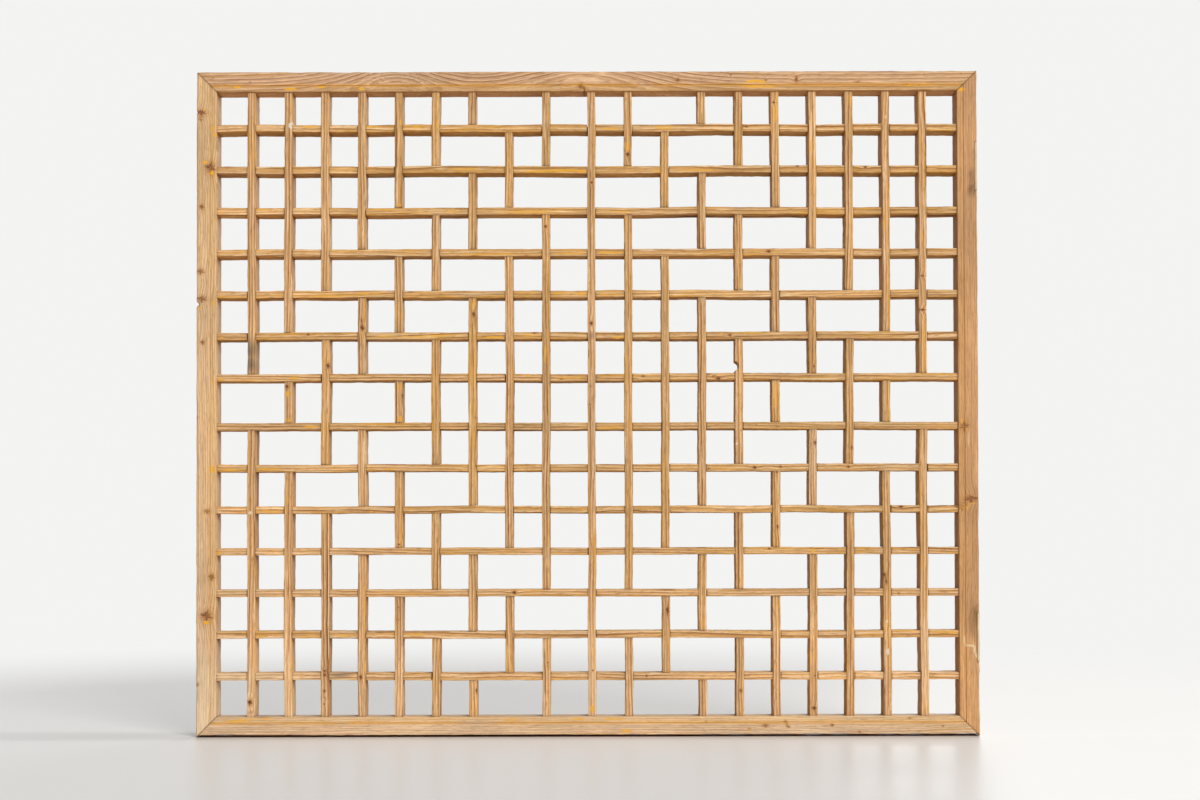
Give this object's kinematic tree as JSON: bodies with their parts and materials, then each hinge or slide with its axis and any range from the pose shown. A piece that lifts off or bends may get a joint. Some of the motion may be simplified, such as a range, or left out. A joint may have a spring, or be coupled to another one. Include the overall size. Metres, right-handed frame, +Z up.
{
  "type": "lattice window panel",
  "caption": "Rectangular softwood lattice window panel: a mitred frame filled with half-lapped cross bars and uprights in a stepped open pattern, for fixing in an opening or on a wall.",
  "frame": {"origin": "middle of the bottom edge, half way through the depth", "axes": "+Z up, +X along the width to the viewer's right, -Y out of the front face"},
  "size_m": [1.2, 0.035, 1.022],
  "materials": {
    "left_stile_wood": "old dry softwood, stripped and worn, traces of yellow paint",
    "right_stile_wood": "old dry softwood, stripped and worn, traces of yellow paint",
    "top_rail_wood": "old dry softwood, stripped and worn, traces of yellow paint",
    "bottom_rail_wood": "old dry softwood, stripped and worn, traces of yellow paint",
    "cross_bar_wood": "old dry softwood, stripped and worn, traces of yellow paint",
    "upright_wood": "old dry softwood, stripped and worn, traces of yellow paint",
    "patch_wood": "pale newer wood, plain"
  },
  "bodies": {
    "root": {"cross_bar_01": "cross_bar_wood", "cross_bar_02": "cross_bar_wood", "cross_bar_03": "cross_bar_wood", "cross_bar_04": "cross_bar_wood", "cross_bar_05": "cross_bar_wood", "cross_bar_06": "cross_bar_wood", "cross_bar_07": "cross_bar_wood", "cross_bar_08": "cross_bar_wood", "cross_bar_09": "cross_bar_wood", "cross_bar_10": "cross_bar_wood", "cross_bar_11": "cross_bar_wood", "cross_bar_12": "cross_bar_wood", "cross_bar_13": "cross_bar_wood", "cross_bar_14": "cross_bar_wood", "hinge_patch_lower": "patch_wood", "hinge_patch_upper": "patch_wood", "rail_bottom": "bottom_rail_wood", "rail_top": "top_rail_wood", "stile_left": "left_stile_wood", "stile_right": "right_stile_wood", "upright_middle": "upright_wood", "upright_pair_1a": "upright_wood", "upright_pair_1b": "upright_wood", "upright_pair_2a": "upright_wood", "upright_pair_2b": "upright_wood", "upright_pair_2c": "upright_wood", "upright_pair_3a": "upright_wood", "upright_pair_3b": "upright_wood", "upright_pair_3c": "upright_wood", "upright_pair_4a": "upright_wood", "upright_pair_4b": "upright_wood", "upright_pair_4c": "upright_wood", "upright_pair_4d": "upright_wood", "upright_pair_5a": "upright_wood", "upright_pair_5b": "upright_wood", "upright_pair_5c": "upright_wood", "upright_pair_5d": "upright_wood", "upright_pair_5e": "upright_wood", "upright_pair_6a": "upright_wood", "upright_pair_6b": "upright_wood", "upright_pair_6c": "upright_wood", "upright_pair_6d": "upright_wood", "upright_pair_6e": "upright_wood", "upright_pair_7a": "upright_wood", "upright_pair_7b": "upright_wood", "upright_pair_7c": "upright_wood", "upright_pair_7d": "upright_wood", "upright_pair_7e": "upright_wood", "upright_pair_8a": "upright_wood", "upright_pair_8b": "upright_wood", "upright_pair_8c": "upright_wood", "upright_pair_9a": "upright_wood", "upright_pair_9b": "upright_wood", "upright_pair_9c": "upright_wood"}
  },
  "joints": []
}
